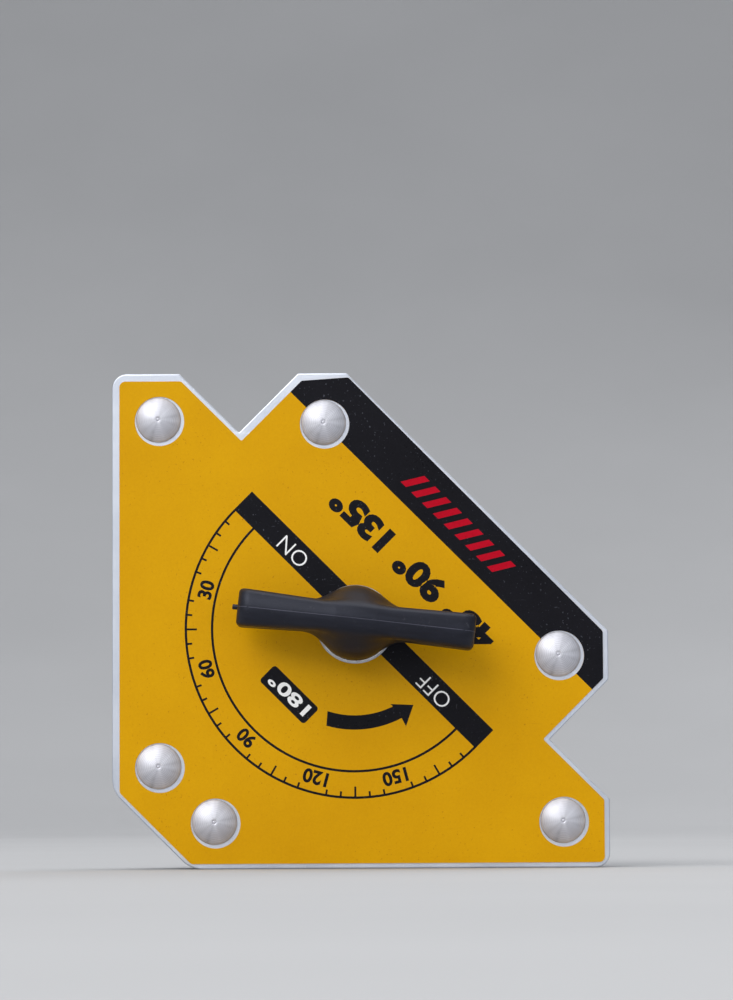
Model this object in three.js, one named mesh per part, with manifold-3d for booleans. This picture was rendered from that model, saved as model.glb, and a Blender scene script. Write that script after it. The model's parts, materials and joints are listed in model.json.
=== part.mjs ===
// Switchable welding magnet holder: an 85 mm angle block with a knob that turns its magnet on and off.
// Millimetres. X is to the right along the base, Y runs from the knob towards the back, Z is up.
// The block stands on its long edge, centred over the origin.
import * as THREE from 'three';
import { mergeVertices } from 'three/addons/utils/BufferGeometryUtils.js';
import Module from 'manifold-3d';

const wasm = await Module();
wasm.setup();

// Plate outline, symmetric about the diagonal from the cut corner to the slanted edge
const PLATE_SIZE = 85;
const END_LAND = 11.6; // flat between a square corner and its V-notch
const NOTCH_WIDTH = 20.4; // mouth of each 90 degree V-notch
const INNER_LAND = 8.4; // flat between a V-notch and the slanted edge
const CORNER_CUT = 13.4; // 45 degree cut at the lower left

// Layers, as depths behind the front face of the front plate
const PLATE = 3;
const CORE = 16;
const STACK = 2 * PLATE + CORE;
const CORE_INSET = 0.6;
const GAP = 0.1; // between faces that touch
const TURN_GAP = 0.3; // between turning faces

// Knob axis, equally far from the left and the lower edge
const AXIS = 41.7;
const ON_ANGLE = 135;
const REST_ANGLE = 173.6; // where the pointer stands, anticlockwise from +X seen from the knob side
const TRAVEL = 180;
const DETENT_ANGLE = 45; // faces the slanted edge

// Rivets
const RIVETS = {
  rivet_upper_left: [8, 77],
  rivet_top: [36.4, 76.4],
  rivet_right: [76.4, 36.4],
  rivet_lower_right: [77, 8],
  rivet_bottom: [17.5, 8],
  rivet_left: [8, 17.5],
};
const RIVET_SHANK_R = 2.4;
const RIVET_HOLE_R = 2.6;
const RIVET_HEAD = { r: 3.85, height: 1.75 };
const RIVET_TAIL = { r: 3.6, height: 1.55 };
const HEAD_GAP = 0.05;

// Dial label
const LABEL = { thickness: 0.2, lift: 0.02, inset: 1.1, slantInset: 0.7, topRise: 0.55, cornerR: 1 };
const LABEL_HOLE = { rivetR: 4.25, hubR: 6.75 };
const LABEL_SHIFT = [0.18, -0.22]; // its outline and rivet holes sit slightly off the plate's

// Magnets and the parts that guide their field
const MAGNET_R = 15.9;
const BORE_R = 16.3;
const SHOE = { outerR: 21, arc: 150, clearance: 0.3, standoff: 1 };
const ROTOR_MAGNET = { r: 13.6, hole: 5.3, from: 5.9, to: 10.1 };
const CARRIER = { r: 15.9, pocketR: 13.9, hubR: 5, from: 4.4, floor: 1.2, to: 10.4 };
const SEPARATOR = [10.7, 11.4];
const FIXED_MAGNET = { hole: 3.6, from: 11.6, to: 17.9 };
const DISC_HOLE_R = 7;

// Spindle and its bushes
const SPINDLE_R = 3;
const BUSH = { bore: 3.12, r: 5, flangeR: 6.8, flange: 0.6 };
const PLATE_BUSH_HOLE_R = 5.1;
const SPINDLE_TOP = -10;
const SPINDLE_END = 21.85;
const SPINDLE_FLAT = 2.2;
const CLIP = { r: 4.6, innerR: 3.4, seatR: 2.35, from: 20.85, to: 21.45, grooveR: 2.2, mouth: 4.2 };
const DRIVE_PIN = { r: 0.75, hole: 0.87, half: 4.7, depth: 7.9 };

// Stop and detent
const STOP = { r: 1, at: 10, from: 1.6, to: 5, groove: 0.8, clearance: 0.3 };
const DETENT = { depth: 7.4, ballR: 1.5, channelR: 1.75, tapR: 2.5, dimple: 0.5 };
const DETENT_SPRING = { from: 19.25, to: 25.1, meanR: 1.15, wireR: 0.25, turns: 5 };
const DETENT_SCREW = { r: 2.35, from: 25.4, to: 28.5, socketR: 1.25, socketDepth: 1.8 };

// Knob, with heights above the front plate
const KNOB = {
  height: 15,
  endHeight: 13.4,
  underside: 4.2,
  pointerEnd: 20,
  tailEnd: -20.3,
  flatHalf: 3.4,
  pointerWidth: 6.5,
  pointerWaist: 5.2,
  tailWidth: 6.1,
  tailWaist: 5.4,
  armOffset: -0.35, // the arm isn't quite central on the hub
  hubR: 6.3,
  hubBottom: 0.85,
  hubShoulder: 6.5,
  hubTop: 14.3,
  bore: 3.15,
  boreTop: 10.3,
};
const WASHER = { r: 6.5, hole: 3.25, from: -0.55, to: -0.05 };
const SET_SCREW = { r: 1.45, hole: 1.6, from: 2.45, to: 5.2, height: 3.6, socketR: 0.8, socketDepth: 1.3 };

const ROUND = 40; // facets of a large circle
const SMALL_ROUND = 20;

const radians = THREE.MathUtils.degToRad;
const degrees = THREE.MathUtils.radToDeg;

function material(color, roughness, metalness) {
  return new THREE.MeshStandardMaterial({ color, roughness, metalness });
}

const MATERIALS = {
  plateSteel: material(0xc9ccd1, 0.35, 1),
  castAluminium: material(0xa9abad, 0.5, 1),
  rivetAluminium: material(0xd6d6d4, 0.35, 1),
  label: material(0xcb9405, 0.45, 0),
  blackPlastic: material(0x1d1e22, 0.35, 0),
  blackSteel: material(0x2a2a2c, 0.4, 1),
  brass: material(0xb08d45, 0.35, 1),
  magnet: material(0xb9bcc2, 0.2, 1),
  softIron: material(0x8d8f93, 0.4, 1),
  steel: material(0xbfc2c6, 0.25, 1),
  whitePlastic: material(0xe6e4dc, 0.6, 0),
};

// ---------------------------------------------------------------- solids

function toSolid(geometry) {
  const plain = geometry.clone();
  plain.deleteAttribute('normal');
  plain.deleteAttribute('uv');
  const merged = mergeVertices(plain, 1e-4);
  const index = merged.index.array;
  const kept = [];
  for (let i = 0; i < index.length; i += 3) {
    const [a, b, c] = [index[i], index[i + 1], index[i + 2]];
    if (a !== b && b !== c && c !== a) kept.push(a, b, c);
  }
  const vertProperties = Float32Array.from(merged.attributes.position.array);
  const triVerts = Uint32Array.from(kept);
  return new wasm.Manifold(new wasm.Mesh({ numProp: 3, vertProperties, triVerts }));
}

function toGeometry(solid) {
  const mesh = solid.getMesh();
  const geometry = new THREE.BufferGeometry();
  geometry.setAttribute('position', new THREE.BufferAttribute(mesh.vertProperties, 3));
  geometry.setIndex(new THREE.BufferAttribute(mesh.triVerts, 1));
  geometry.computeVertexNormals();
  return geometry;
}

// An outline drawn in X and Z, as thick as the depths say.
function slab(shape, from, to) {
  const settings = { depth: to - from, bevelEnabled: false, curveSegments: 12 };
  const geometry = new THREE.ExtrudeGeometry(shape, settings);
  return geometry.rotateX(Math.PI / 2).translate(0, to, 0);
}

// A profile of [radius, depth] pairs turned about Y.
function turned(profile, facets = ROUND) {
  return new THREE.LatheGeometry(profile.map(([r, y]) => new THREE.Vector2(r, y)), facets);
}

function ring(inner, outer, from, to, facets = ROUND) {
  return turned([[inner, from], [outer, from], [outer, to], [inner, to], [inner, from]], facets);
}

function rod(r, from, to, facets = SMALL_ROUND) {
  return turned([[0, from], [r, from], [r, to], [0, to]], facets);
}

// A rod that lies across the Y axis at one depth, pointing at an angle in the XZ plane.
function radialRod(r, from, to, depth, angle, facets = SMALL_ROUND) {
  return rod(r, from, to, facets).rotateZ(-Math.PI / 2).rotateY(-radians(angle)).translate(0, depth, 0);
}

function hexagon(acrossCorners, from, to) {
  return turned([[0, from], [acrossCorners, from], [acrossCorners, to], [0, to]], 6);
}

function cut(base, ...tools) {
  return toGeometry(tools.reduce((solid, tool) => solid.subtract(toSolid(tool)), toSolid(base)));
}

function joined(base, ...others) {
  return toGeometry(others.reduce((solid, other) => solid.add(toSolid(other)), toSolid(base)));
}

// ---------------------------------------------------------------- outlines

// Corners as [x, z, corner radius], anticlockwise seen from the knob side.
const TOP_LAND_END = 6; // the corner where the top land meets the slanted edge

function plateCorners() {
  const notchDepth = NOTCH_WIDTH / 2;
  const notchEnd = END_LAND + NOTCH_WIDTH;
  const slantStart = notchEnd + INNER_LAND;
  const lower = [
    [CORNER_CUT, 0, 5],
    [PLATE_SIZE, 0, 2.5],
    [PLATE_SIZE, END_LAND, 0.5],
    [PLATE_SIZE - notchDepth, END_LAND + notchDepth, 0.3],
    [PLATE_SIZE, notchEnd, 0.5],
    [PLATE_SIZE, slantStart, 0.8],
  ];
  const mirrored = lower.map(([x, z, r]) => [z, x, r]).reverse();
  return [...lower, ...mirrored];
}

// Moves each edge inwards by its own distance; edge i runs from corner i to the next one.
function insetCorners(corners, distanceOf) {
  const count = corners.length;
  const edges = corners.map(([x, z], i) => {
    const [nextX, nextZ] = corners[(i + 1) % count];
    const length = Math.hypot(nextX - x, nextZ - z);
    const normal = [-(nextZ - z) / length, (nextX - x) / length];
    return { normal, offset: normal[0] * x + normal[1] * z + distanceOf(normal) };
  });
  return corners.map(([, , r], i) => {
    const a = edges[(i + count - 1) % count];
    const b = edges[i];
    const det = a.normal[0] * b.normal[1] - a.normal[1] * b.normal[0];
    const x = (a.offset * b.normal[1] - b.offset * a.normal[1]) / det;
    const z = (a.normal[0] * b.offset - b.normal[0] * a.offset) / det;
    return [x, z, r];
  });
}

// A closed shape from corners, each rounded by its own radius.
function roundedShape(corners, steps = 6) {
  const points = [];
  const count = corners.length;
  corners.forEach(([x, z, r], i) => {
    const [prevX, prevZ] = corners[(i + count - 1) % count];
    const [nextX, nextZ] = corners[(i + 1) % count];
    const corner = new THREE.Vector2(x, z);
    const back = new THREE.Vector2(prevX, prevZ).sub(corner).normalize();
    const ahead = new THREE.Vector2(nextX, nextZ).sub(corner).normalize();
    const half = Math.acos(THREE.MathUtils.clamp(back.dot(ahead), -1, 1)) / 2;
    const centre = back.clone().add(ahead).normalize().multiplyScalar(r / Math.sin(half)).add(corner);
    const start = back.clone().multiplyScalar(r / Math.tan(half)).add(corner).sub(centre);
    const end = ahead.clone().multiplyScalar(r / Math.tan(half)).add(corner).sub(centre);
    const turn = Math.atan2(start.cross(end), start.dot(end));
    for (let step = 0; step <= steps; step += 1) {
      const point = start.clone().rotateAround(new THREE.Vector2(), (turn * step) / steps);
      points.push(point.add(centre));
    }
  });
  return new THREE.Shape(points);
}

function addHole(shape, x, z, r) {
  const hole = new THREE.Path();
  hole.absarc(x, z, r, 0, 2 * Math.PI, true);
  shape.holes.push(hole);
}

function plateShape(inset, holeR) {
  const shape = roundedShape(insetCorners(plateCorners(), () => inset));
  for (const [x, z] of Object.values(RIVETS)) addHole(shape, x, z, holeR);
  return shape;
}

// A ring sector between two angles in degrees, drawn about the origin.
function sector(inner, outer, fromAngle, toAngle) {
  const shape = new THREE.Shape();
  shape.absarc(0, 0, outer, radians(fromAngle), radians(toAngle), false);
  shape.absarc(0, 0, inner, radians(toAngle), radians(fromAngle), true);
  return shape;
}

// ---------------------------------------------------------------- plates, core and label

function frontPlate() {
  const shape = plateShape(0, RIVET_HOLE_R);
  addHole(shape, AXIS, AXIS, PLATE_BUSH_HOLE_R);
  const stopHole = rod(STOP.r + GAP, STOP.from - GAP, PLATE + 1).translate(...stopPlace());
  return cut(slab(shape, 0, PLATE), stopHole);
}

function rearPlate() {
  const shape = plateShape(0, RIVET_HOLE_R);
  addHole(shape, AXIS, AXIS, PLATE_BUSH_HOLE_R);
  return slab(shape, STACK - PLATE, STACK);
}

// Room for a pole shoe: a sector of the bore that is wider than the shoe by its clearance.
function shoePocket(middle) {
  const half = SHOE.arc / 2 + 1.2;
  const shape = sector(BORE_R - 1, SHOE.outerR + SHOE.clearance, middle - half, middle + half);
  return slab(shape, PLATE - 1, STACK).translate(AXIS, 0, AXIS);
}

function coreHousing() {
  const shape = plateShape(CORE_INSET, RIVET_HOLE_R + GAP);
  addHole(shape, AXIS, AXIS, BORE_R);
  const channel = radialRod(DETENT.channelR, BORE_R - 1, DETENT_SCREW.from, DETENT.depth, DETENT_ANGLE);
  const tap = radialRod(DETENT.tapR, DETENT_SCREW.from - GAP, 33, DETENT.depth, DETENT_ANGLE);
  return cut(
    slab(shape, PLATE + GAP, STACK - PLATE - GAP),
    shoePocket(ON_ANGLE),
    shoePocket(ON_ANGLE + 180),
    channel.translate(AXIS, 0, AXIS),
    tap.translate(AXIS, 0, AXIS),
  );
}

function dialLabel() {
  const isSlanted = (normal) => Math.abs(Math.abs(normal[0]) - Math.abs(normal[1])) < 0.1;
  const facesDiagonal = (normal) => isSlanted(normal) && normal[0] * normal[1] > 0;
  const inset = (normal) => (facesDiagonal(normal) ? LABEL.slantInset : LABEL.inset);
  const corners = insetCorners(plateCorners(), inset);
  corners[TOP_LAND_END][1] += LABEL.topRise;
  const shape = roundedShape(corners.map(([x, z, r]) => [x, z, Math.min(r, LABEL.cornerR)]));
  for (const [x, z] of Object.values(RIVETS)) addHole(shape, x, z, LABEL_HOLE.rivetR);
  const [shiftX, shiftZ] = LABEL_SHIFT;
  addHole(shape, AXIS - shiftX, AXIS - shiftZ, LABEL_HOLE.hubR);
  return slab(shape, -LABEL.lift - LABEL.thickness, -LABEL.lift).translate(shiftX, 0, shiftZ);
}

// ---------------------------------------------------------------- rivets

// A shallow dome from its crown to its rim, as [radius, height] pairs.
function dome(head, steps) {
  const bow = (head.r ** 2 + head.height ** 2) / (2 * head.height);
  const spread = Math.asin(head.r / bow);
  return Array.from({ length: steps + 1 }, (_, i) => {
    const angle = (spread * i) / steps;
    return [bow * Math.sin(angle), bow * Math.cos(angle) - bow + head.height];
  });
}

function rivet() {
  const front = dome(RIVET_HEAD, 5).map(([r, height]) => [r, -height - HEAD_GAP]);
  const back = dome(RIVET_TAIL, 4).map(([r, height]) => [r, STACK + HEAD_GAP + height]).reverse();
  const shank = [[RIVET_SHANK_R, -HEAD_GAP], [RIVET_SHANK_R, STACK + HEAD_GAP]];
  return turned([...front, ...shank, ...back], SMALL_ROUND);
}

// ---------------------------------------------------------------- magnet system, about the knob axis

function poleShoe(middle, from, to) {
  const half = SHOE.arc / 2;
  return slab(sector(BORE_R, SHOE.outerR, middle - half, middle + half), from, to);
}

function isolatingDisc(from, to) {
  return ring(DISC_HOLE_R, MAGNET_R, from, to);
}

function frontIsolatingDisc() {
  const stopHole = rod(STOP.r + GAP, PLATE - 1, CARRIER.from).translate(...polar(STOP.at, DETENT_ANGLE));
  return cut(isolatingDisc(PLATE + GAP, CARRIER.from - TURN_GAP), stopHole);
}

function frontBush() {
  const { bore, r, flangeR, flange } = BUSH;
  const seat = PLATE + GAP;
  const back = seat + flange;
  return turned([[bore, GAP], [r, GAP], [r, seat], [flangeR, seat], [flangeR, back], [bore, back],
    [bore, GAP]]);
}

function rearBush() {
  const { bore, r, flangeR, flange } = BUSH;
  const inner = STACK - PLATE - GAP;
  const end = CLIP.from - TURN_GAP;
  return turned([[bore, inner - flange], [flangeR, inner - flange], [flangeR, inner], [r, inner], [r, end],
    [bore, end], [bore, inner - flange]]);
}

function rotorCarrier() {
  const { r, pocketR, hubR, from, floor, to } = CARRIER;
  const bore = SPINDLE_R + GAP;
  const cup = turned([[bore, from], [r, from], [r, to], [pocketR, to], [pocketR, from + floor],
    [hubR, from + floor], [hubR, to], [bore, to], [bore, from]]);
  const slack = degrees((STOP.r + STOP.clearance) / STOP.at);
  const first = DETENT_ANGLE - ON_ANGLE - TRAVEL - slack;
  const last = DETENT_ANGLE - ON_ANGLE + slack;
  const grooveHalf = STOP.r + STOP.clearance;
  const groove = sector(STOP.at - grooveHalf, STOP.at + grooveHalf, first, last);
  const pinHole = radialRod(DRIVE_PIN.hole, -DRIVE_PIN.half - 1, DRIVE_PIN.half + 1, DRIVE_PIN.depth, 90, 16);
  const dimpleR = DETENT.ballR + GAP;
  const dimpleAt = CARRIER.r - DETENT.dimple + dimpleR;
  const dimples = [0, TRAVEL].map((turn) => {
    const [x, , z] = polar(dimpleAt, DETENT_ANGLE - ON_ANGLE - turn);
    return new THREE.SphereGeometry(dimpleR, 14, 10).translate(x, DETENT.depth, z);
  });
  return cut(cup, slab(groove, from - 1, from + STOP.groove), pinHole, ...dimples);
}

function spindle() {
  const { from, to, grooveR } = CLIP;
  const groove = [[SPINDLE_R, from - GAP], [grooveR, from - GAP], [grooveR, to + GAP], [SPINDLE_R, to + GAP]];
  const shaft = turned([[0, SPINDLE_TOP], [SPINDLE_R - 0.4, SPINDLE_TOP], [SPINDLE_R, SPINDLE_TOP + 0.4],
    ...groove, [SPINDLE_R, SPINDLE_END], [0, SPINDLE_END]]);
  const flatLength = -WASHER.from - SPINDLE_TOP;
  const flat = new THREE.BoxGeometry(10, flatLength, 4)
    .translate(0, SPINDLE_TOP - 1 + flatLength / 2, -SPINDLE_FLAT - 2);
  const pinHole = radialRod(DRIVE_PIN.hole, -5, 5, DRIVE_PIN.depth, 90, 16);
  return cut(shaft, flat, pinHole);
}

function drivePin() {
  return radialRod(DRIVE_PIN.r, -DRIVE_PIN.half, DRIVE_PIN.half, DRIVE_PIN.depth, 90, 16);
}

// An E-shaped clip: an open ring whose three prongs grip the spindle's groove.
function retainingClip() {
  const { r, innerR, seatR, from, to, mouth } = CLIP;
  const thickness = to - from;
  const middle = (from + to) / 2;
  const opening = new THREE.BoxGeometry(r * 2, thickness * 3, mouth).translate(r, middle, 0);
  const open = toSolid(ring(innerR, r, from, to)).subtract(toSolid(opening));
  const prongs = [75, 180, 285].map((angle) => {
    const length = r - 0.3 - seatR;
    const prong = new THREE.BoxGeometry(length, thickness, 1.6).translate(seatR + length / 2, middle, 0);
    return toSolid(prong.rotateY(-radians(angle)));
  });
  return toGeometry(prongs.reduce((solid, prong) => solid.add(prong), open));
}

// ---------------------------------------------------------------- stop and detent

function polar(r, angle) {
  return [r * Math.cos(radians(angle)), 0, r * Math.sin(radians(angle))];
}

function stopPlace() {
  const [x, , z] = polar(STOP.at, DETENT_ANGLE);
  return [AXIS + x, 0, AXIS + z];
}

function detentBall() {
  const at = CARRIER.r + GAP + DETENT.ballR;
  const [x, , z] = polar(at, DETENT_ANGLE);
  return new THREE.SphereGeometry(DETENT.ballR, 14, 10).translate(x, DETENT.depth, z);
}

class Helix extends THREE.Curve {
  getPoint(t, target = new THREE.Vector3()) {
    const { from, to, meanR, turns } = DETENT_SPRING;
    const angle = 2 * Math.PI * turns * t;
    return target.set(from + (to - from) * t, meanR * Math.sin(angle), meanR * Math.cos(angle));
  }
}

function detentSpring() {
  const wire = new THREE.Shape();
  wire.absarc(0, 0, DETENT_SPRING.wireR, 0, 2 * Math.PI, false);
  const steps = DETENT_SPRING.turns * 12;
  const coil = new THREE.ExtrudeGeometry(wire, { steps, extrudePath: new Helix(), curveSegments: 3 });
  return coil.rotateY(-radians(DETENT_ANGLE)).translate(0, DETENT.depth, 0);
}

function detentScrew() {
  const { r, from, to, socketR, socketDepth } = DETENT_SCREW;
  const body = turned([[0, from], [r - 0.5, from], [r, from + 0.5], [r, to - 0.3], [r - 0.3, to], [0, to]],
    SMALL_ROUND);
  const screw = cut(body, hexagon(socketR, to - socketDepth, to + 1));
  return screw.rotateZ(-Math.PI / 2).rotateY(-radians(DETENT_ANGLE)).translate(0, DETENT.depth, 0);
}

// ---------------------------------------------------------------- knob, pointing along +X

function wingPlan() {
  const { pointerEnd, tailEnd, pointerWidth, pointerWaist, tailWidth, tailWaist } = KNOB;
  const upper = [
    [pointerEnd, pointerWidth / 2, 0.7],
    [5.5, pointerWaist / 2, 12],
    [-6, tailWaist / 2, 12],
    [tailEnd, tailWidth / 2, 0.9],
  ];
  const lower = upper.map(([x, z, r]) => [x, -z, r]).reverse();
  return roundedShape([...lower, ...upper], 5);
}

function wingSide() {
  const { height, endHeight, underside, pointerEnd, tailEnd, flatHalf } = KNOB;
  return roundedShape([
    [tailEnd, underside, 1.2],
    [pointerEnd, underside, 1.2],
    [pointerEnd, endHeight, 2],
    [flatHalf, height, 12],
    [-flatHalf, height, 12],
    [tailEnd, endHeight, 2],
  ], 5);
}

function wing() {
  const plan = toSolid(slab(wingPlan(), -KNOB.height - 1, 0).translate(0, 0, KNOB.armOffset));
  const width = 12; // wider than the wing, which the plan outline trims
  const side = new THREE.ExtrudeGeometry(wingSide(), { depth: width, bevelEnabled: false });
  side.translate(0, 0, -width / 2).rotateX(Math.PI);
  return plan.intersect(toSolid(side));
}

function hub() {
  const { hubR, hubBottom, hubShoulder, hubTop } = KNOB;
  const steps = 7;
  const crown = Array.from({ length: steps }, (_, i) => {
    const angle = (Math.PI / 2) * (1 - i / steps);
    return [hubR * Math.cos(angle), -hubShoulder - (hubTop - hubShoulder) * Math.sin(angle)];
  });
  crown[0][0] = 0;
  return toSolid(turned([...crown, [hubR, -hubShoulder], [hubR, -hubBottom], [0, -hubBottom]]));
}

function pointerNub() {
  const { underside, endHeight, pointerEnd, armOffset } = KNOB;
  const nub = rod(0.45, pointerEnd - 1, pointerEnd + 0.9, 12);
  return nub.rotateZ(-Math.PI / 2).translate(0, -(underside + endHeight) / 2, armOffset);
}

function knob() {
  const bore = cut(
    rod(KNOB.bore, -KNOB.boreTop, 0, ROUND),
    new THREE.BoxGeometry(10, 30, 4).translate(0, -5, -SPINDLE_FLAT - GAP - 2),
  );
  const screwHole = radialRod(SET_SCREW.hole, 1, KNOB.hubR + 1, -SET_SCREW.height, 270, 16);
  const body = wing().add(hub()).add(toSolid(pointerNub()));
  return toGeometry(body.subtract(toSolid(bore)).subtract(toSolid(screwHole)));
}

function knobSetScrew() {
  const { r, from, to, height, socketR, socketDepth } = SET_SCREW;
  const screw = cut(rod(r, from, to, 16), hexagon(socketR, to - socketDepth, to + 1));
  return screw.rotateZ(-Math.PI / 2).rotateY(-radians(270)).translate(0, -height, 0);
}

// ---------------------------------------------------------------- assembly

function add(group, name, geometry, look) {
  const mesh = new THREE.Mesh(geometry, look);
  mesh.name = name;
  group.add(mesh);
  return mesh;
}

function block() {
  const group = new THREE.Group();
  add(group, 'front_plate', frontPlate(), MATERIALS.plateSteel);
  add(group, 'rear_plate', rearPlate(), MATERIALS.plateSteel);
  add(group, 'core_housing', coreHousing(), MATERIALS.castAluminium);
  add(group, 'dial_label', dialLabel(), MATERIALS.label);
  for (const [name, [x, z]] of Object.entries(RIVETS)) {
    add(group, name, rivet(), MATERIALS.rivetAluminium).position.set(x, 0, z);
  }
  return group;
}

function magnetSystem() {
  const group = new THREE.Group();
  group.position.set(AXIS, 0, AXIS);
  const inside = [PLATE + GAP, STACK - PLATE - GAP];
  const front = poleShoe(ON_ANGLE, inside[0], inside[1] - SHOE.standoff);
  const rear = poleShoe(ON_ANGLE + 180, inside[0] + SHOE.standoff, inside[1]);
  add(group, 'front_pole_shoe', front, MATERIALS.softIron);
  add(group, 'rear_pole_shoe', rear, MATERIALS.softIron);
  const { hole, from, to } = FIXED_MAGNET;
  add(group, 'fixed_magnet', ring(hole, MAGNET_R, from, to), MATERIALS.magnet);
  add(group, 'separator_washer', ring(hole, MAGNET_R, ...SEPARATOR), MATERIALS.whitePlastic);
  add(group, 'front_isolating_disc', frontIsolatingDisc(), MATERIALS.brass);
  add(group, 'rear_isolating_disc', isolatingDisc(to + GAP, inside[1] - GAP), MATERIALS.brass);
  add(group, 'front_bush', frontBush(), MATERIALS.brass);
  add(group, 'rear_bush', rearBush(), MATERIALS.brass);
  const stopPin = rod(STOP.r, STOP.from, STOP.to, 20).translate(...polar(STOP.at, DETENT_ANGLE));
  add(group, 'stop_pin', stopPin, MATERIALS.steel);
  add(group, 'detent_ball', detentBall(), MATERIALS.steel);
  add(group, 'detent_spring', detentSpring(), MATERIALS.steel);
  add(group, 'detent_screw', detentScrew(), MATERIALS.blackSteel);
  return group;
}

function rotor() {
  const group = new THREE.Group();
  group.position.set(AXIS, 0, AXIS);
  group.rotation.y = -radians(REST_ANGLE);
  const { r, hole, from, to } = ROTOR_MAGNET;
  add(group, 'rotor_magnet', ring(hole, r, from, to), MATERIALS.magnet);
  add(group, 'rotor_carrier', rotorCarrier(), MATERIALS.brass);
  add(group, 'spindle', spindle(), MATERIALS.steel);
  add(group, 'drive_pin', drivePin(), MATERIALS.steel);
  add(group, 'retaining_clip', retainingClip(), MATERIALS.blackSteel);
  add(group, 'thrust_washer', ring(WASHER.hole, WASHER.r, WASHER.from, WASHER.to), MATERIALS.steel);
  add(group, 'knob', knob(), MATERIALS.blackPlastic);
  add(group, 'knob_set_screw', knobSetScrew(), MATERIALS.blackSteel);
  return group;
}

const holder = new THREE.Group();
holder.add(block(), magnetSystem(), rotor());
const backMost = STACK + HEAD_GAP + RIVET_TAIL.height;
holder.position.set(-PLATE_SIZE / 2, (KNOB.height - backMost) / 2, 0);

export default holder;
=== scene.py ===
"""Looks of a switchable welding magnet holder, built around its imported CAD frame.

Lengths are in millimetres unless a name says otherwise, and MM turns them into the frame's metres.
X runs along the base, Y from the knob to the back, Z up. Places come from the frame: the plate's
corner is the zero of the outline, and the knob's axis is the zero of the dial and the rotor.
"""
import json
import math

import bmesh
import bpy
import numpy as np
from mathutils import Matrix, Vector
from mathutils.geometry import delaunay_2d_cdt, tessellate_polygon


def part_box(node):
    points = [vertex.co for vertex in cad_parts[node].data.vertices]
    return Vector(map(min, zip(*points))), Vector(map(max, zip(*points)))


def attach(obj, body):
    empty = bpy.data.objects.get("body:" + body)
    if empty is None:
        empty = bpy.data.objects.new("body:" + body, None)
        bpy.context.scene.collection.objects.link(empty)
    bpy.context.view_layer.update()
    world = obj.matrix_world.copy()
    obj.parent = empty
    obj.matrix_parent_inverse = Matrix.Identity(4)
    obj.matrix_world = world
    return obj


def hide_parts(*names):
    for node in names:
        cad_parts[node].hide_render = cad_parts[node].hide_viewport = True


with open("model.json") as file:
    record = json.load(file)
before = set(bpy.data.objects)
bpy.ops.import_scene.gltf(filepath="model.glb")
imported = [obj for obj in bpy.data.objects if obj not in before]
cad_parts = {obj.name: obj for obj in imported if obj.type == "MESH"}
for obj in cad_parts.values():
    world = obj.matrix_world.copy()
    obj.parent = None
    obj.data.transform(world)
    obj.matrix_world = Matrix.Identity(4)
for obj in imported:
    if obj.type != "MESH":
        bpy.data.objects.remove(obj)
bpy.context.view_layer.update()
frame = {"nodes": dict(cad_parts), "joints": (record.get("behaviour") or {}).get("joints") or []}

MM = 0.001
BLOCK, ROTOR = "block", "rotor"

# -------------------- places from the frame

front_low, front_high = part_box("front_plate")
rear_low, rear_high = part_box("rear_plate")
label_low, label_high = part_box("dial_label")
core_low, core_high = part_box("core_housing")
knob_low, knob_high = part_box("knob")

LEFT, FLOOR = front_low.x, front_low.z
FRONT, BACK = front_low.y, rear_high.y
PLATE_SIZE = (front_high.x - front_low.x) / MM
AXIS = Vector(frame["joints"][0]["pos_m"])
AXIS_X, AXIS_Z = (AXIS.x - LEFT) / MM, (AXIS.z - FLOOR) / MM
REST_ANGLE = 173.6  # degrees anticlockwise from +X to the knob's pointer, seen from the knob side


def place(x, depth, z):
    """A point in plate millimetres, with its depth behind the front plate's face, as metres."""
    return Vector((LEFT + x * MM, FRONT + depth * MM, FLOOR + z * MM))


def depth_of(y):
    return (y - FRONT) / MM


# -------------------- driving dimensions

END_LAND = 11.6
NOTCH_WIDTH = 20.4
INNER_LAND = 8.4
CORNER_CUT = 13.4
PLATE_BEVEL = 0.22
CORE_BEVEL = 0.25
BUSH_HOLE_R = 5.1
RIVETS = {
    "rivet_upper_left": (8, 77),
    "rivet_top": (36.4, 76.4),
    "rivet_right": (76.4, 36.4),
    "rivet_lower_right": (77, 8),
    "rivet_bottom": (17.5, 8),
    "rivet_left": (8, 17.5),
}
RIVET_HOLE_R = 2.6
CORE_INSET = (core_low.x - LEFT) / MM

BORE_R = 16.3
SHOE_POCKET_R = 21.3
SHOE_POCKET_HALF = 76.2  # half of each pocket's arc, in degrees
ON_ANGLE = 135
DETENT_ANGLE = 45
DETENT_DEPTH = 7.4
DETENT_TAP_FROM = 25.3
DETENT_TAP_R = 2.5
DETENT_SCREW = (25.4, 28.5)
DETENT_SCREW_R = 2.35
HEX_SOCKET_R, HEX_SOCKET_DEPTH = 1.25, 1.8

LABEL_INSET = 1.1
LABEL_SLANT_INSET = 0.7
LABEL_TOP_RISE = 0.55
TOP_LAND_END = 6  # the corner where the top land meets the slanted edge
LABEL_SHIFT = Vector((0.18, -0.22))
LABEL_RIVET_HOLE_R = 4.25
LABEL_HUB_HOLE_R = 6.75
LABEL_CORNER_R = 1.0
DIAL_CENTRE = (41.55, 40.95)  # the print sits a little below the knob axis

# -------------------- mesh helpers


def new_object(name, mesh, smooth_angle=32):
    for polygon in mesh.polygons:
        polygon.use_smooth = True
    mesh.set_sharp_from_angle(angle=math.radians(smooth_angle))
    obj = bpy.data.objects.new(name, mesh)
    bpy.context.scene.collection.objects.link(obj)
    return obj


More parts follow.
